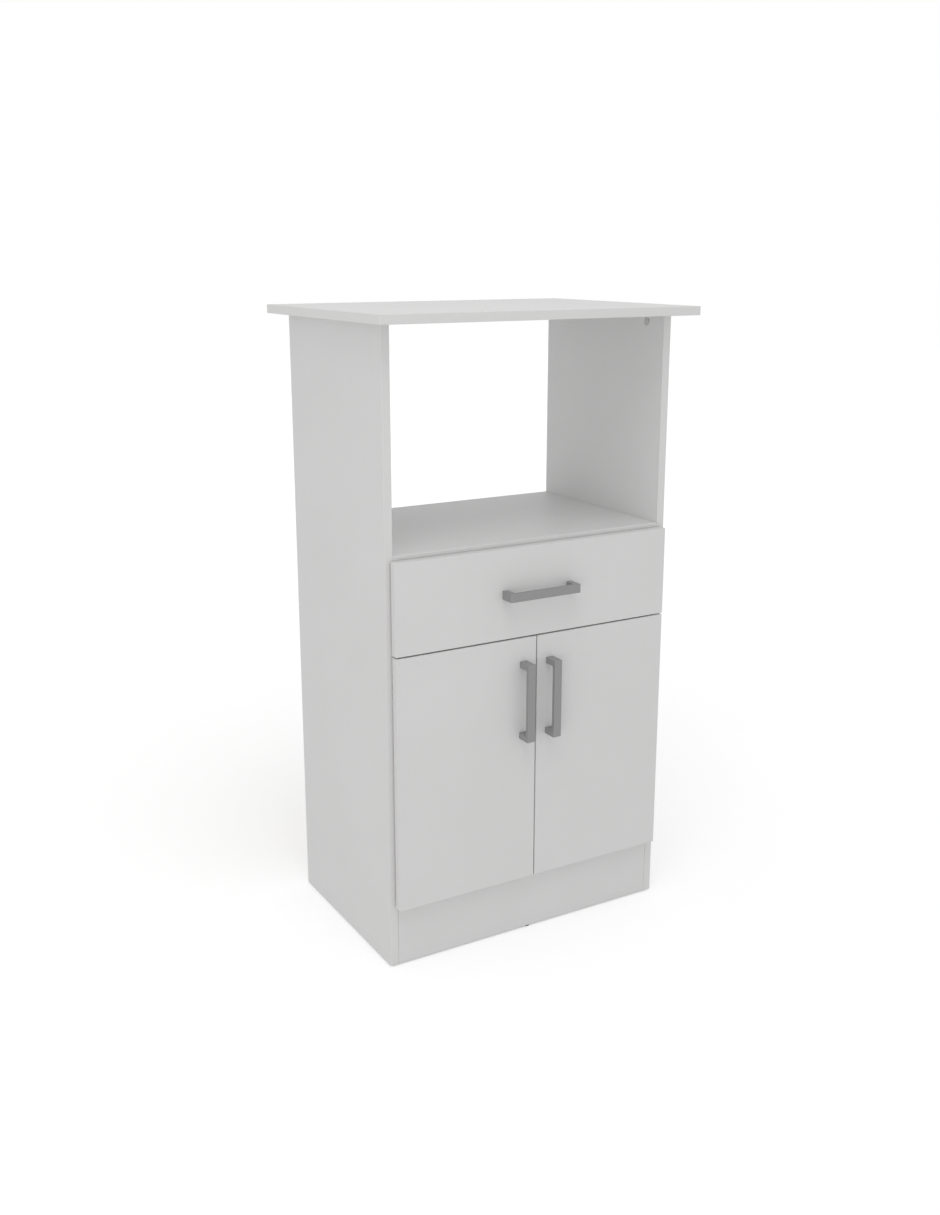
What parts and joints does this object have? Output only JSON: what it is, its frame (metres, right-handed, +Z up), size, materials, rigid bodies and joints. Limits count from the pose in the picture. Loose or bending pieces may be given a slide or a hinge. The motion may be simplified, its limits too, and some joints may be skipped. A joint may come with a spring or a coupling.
{
  "type": "microwave cabinet",
  "caption": "Tall free-standing kitchen cabinet with an open microwave niche under an overhanging top, a drawer on roller runners and hinged doors below, all with bow handles.",
  "frame": {"origin": "on the floor, under the middle of the top panel", "axes": "+Z up, +X to the right and +Y to the back, seen from the front"},
  "size_m": [0.605, 0.445, 1.1],
  "materials": {
    "white_board": "white melamine on chipboard, satin",
    "white_hardboard": "white lacquered hardboard",
    "handle_grey": "grey satin paint",
    "zinc_fitting": "dull die-cast zinc",
    "plated_steel": "bright plated steel",
    "white_runner": "white powder coat",
    "white_nylon": "natural nylon",
    "dark_glide": "dark plastic",
    "beech_dowel": "plain beech"
  },
  "bodies": {
    "carcass": {"top_panel": "white_board", "left_side": "white_board", "right_side": "white_board", "niche_shelf": "white_board", "base_panel": "white_board", "kick_plate": "white_board", "rear_rail": "white_board", "back_panel": "white_hardboard", "inner_shelf": "white_board", "shelf_pins": "plated_steel", "cam_locks": "zinc_fitting", "cam_bolts": "plated_steel", "dowels": "beech_dowel", "glides": "dark_glide", "left_hinge_arms": "plated_steel", "right_hinge_arms": "plated_steel", "left_hinge_plates": "plated_steel", "right_hinge_plates": "plated_steel", "hinge_arm_screws": "plated_steel", "hinge_plate_screws": "plated_steel", "left_cabinet_runner": "white_runner", "right_cabinet_runner": "white_runner", "cabinet_runner_screws": "plated_steel", "front_roller_axles": "plated_steel"},
    "drawer": {"drawer_front": "white_board", "drawer_left_side": "white_board", "drawer_right_side": "white_board", "drawer_back": "white_board", "drawer_bottom": "white_hardboard", "drawer_cams": "zinc_fitting", "drawer_bolts": "plated_steel", "drawer_back_screws": "plated_steel", "drawer_handle": "handle_grey", "drawer_handle_screws": "plated_steel", "left_drawer_runner": "white_runner", "right_drawer_runner": "white_runner", "drawer_runner_screws": "plated_steel", "rear_roller_axles": "plated_steel"},
    "left_door": {"left_door": "white_board", "left_door_handle": "handle_grey", "left_handle_screws": "plated_steel", "left_hinge_cups": "plated_steel", "left_hinge_pins": "plated_steel", "left_cup_screws": "plated_steel"},
    "right_door": {"right_door": "white_board", "right_door_handle": "handle_grey", "right_handle_screws": "plated_steel", "right_hinge_cups": "plated_steel", "right_hinge_pins": "plated_steel", "right_cup_screws": "plated_steel"},
    "left_front_roller": {"left_front_roller": "white_nylon"},
    "left_rear_roller": {"left_rear_roller": "white_nylon"},
    "right_front_roller": {"right_front_roller": "white_nylon"},
    "right_rear_roller": {"right_rear_roller": "white_nylon"}
  },
  "joints": [
    {"name": "drawer_slide", "type": "slide", "parent": "carcass", "child": "drawer", "axis": [0, -1, 0], "range_m": [0, 0.26]},
    {"name": "left_door_hinge", "type": "hinge", "parent": "carcass", "child": "left_door", "pos_m": [-0.2608, -0.1868, 0.3335], "axis": [0, 0, -1], "range_deg": [0, 95]},
    {"name": "right_door_hinge", "type": "hinge", "parent": "carcass", "child": "right_door", "pos_m": [0.2608, -0.1868, 0.3335], "axis": [0, 0, 1], "range_deg": [0, 95]},
    {"name": "left_front_roller_spin", "type": "hinge", "parent": "carcass", "child": "left_front_roller", "pos_m": [-0.2566, -0.159, 0.5873], "axis": [1, 0, 0], "range_deg": [0, 1360]},
    {"name": "left_rear_roller_spin", "type": "hinge", "parent": "drawer", "child": "left_rear_roller", "pos_m": [-0.2566, 0.1484, 0.5865], "axis": [1, 0, 0], "range_deg": [0, 1360]},
    {"name": "right_front_roller_spin", "type": "hinge", "parent": "carcass", "child": "right_front_roller", "pos_m": [0.2566, -0.159, 0.5873], "axis": [1, 0, 0], "range_deg": [0, 1360]},
    {"name": "right_rear_roller_spin", "type": "hinge", "parent": "drawer", "child": "right_rear_roller", "pos_m": [0.2566, 0.1484, 0.5865], "axis": [1, 0, 0], "range_deg": [0, 1360]}
  ],
  "couplings": [
    {"joint": "left_front_roller_spin", "follows": "drawer_slide", "rad_per_m": 90.909},
    {"joint": "left_rear_roller_spin", "follows": "drawer_slide", "rad_per_m": 90.909},
    {"joint": "right_front_roller_spin", "follows": "drawer_slide", "rad_per_m": 90.909},
    {"joint": "right_rear_roller_spin", "follows": "drawer_slide", "rad_per_m": 90.909}
  ]
}
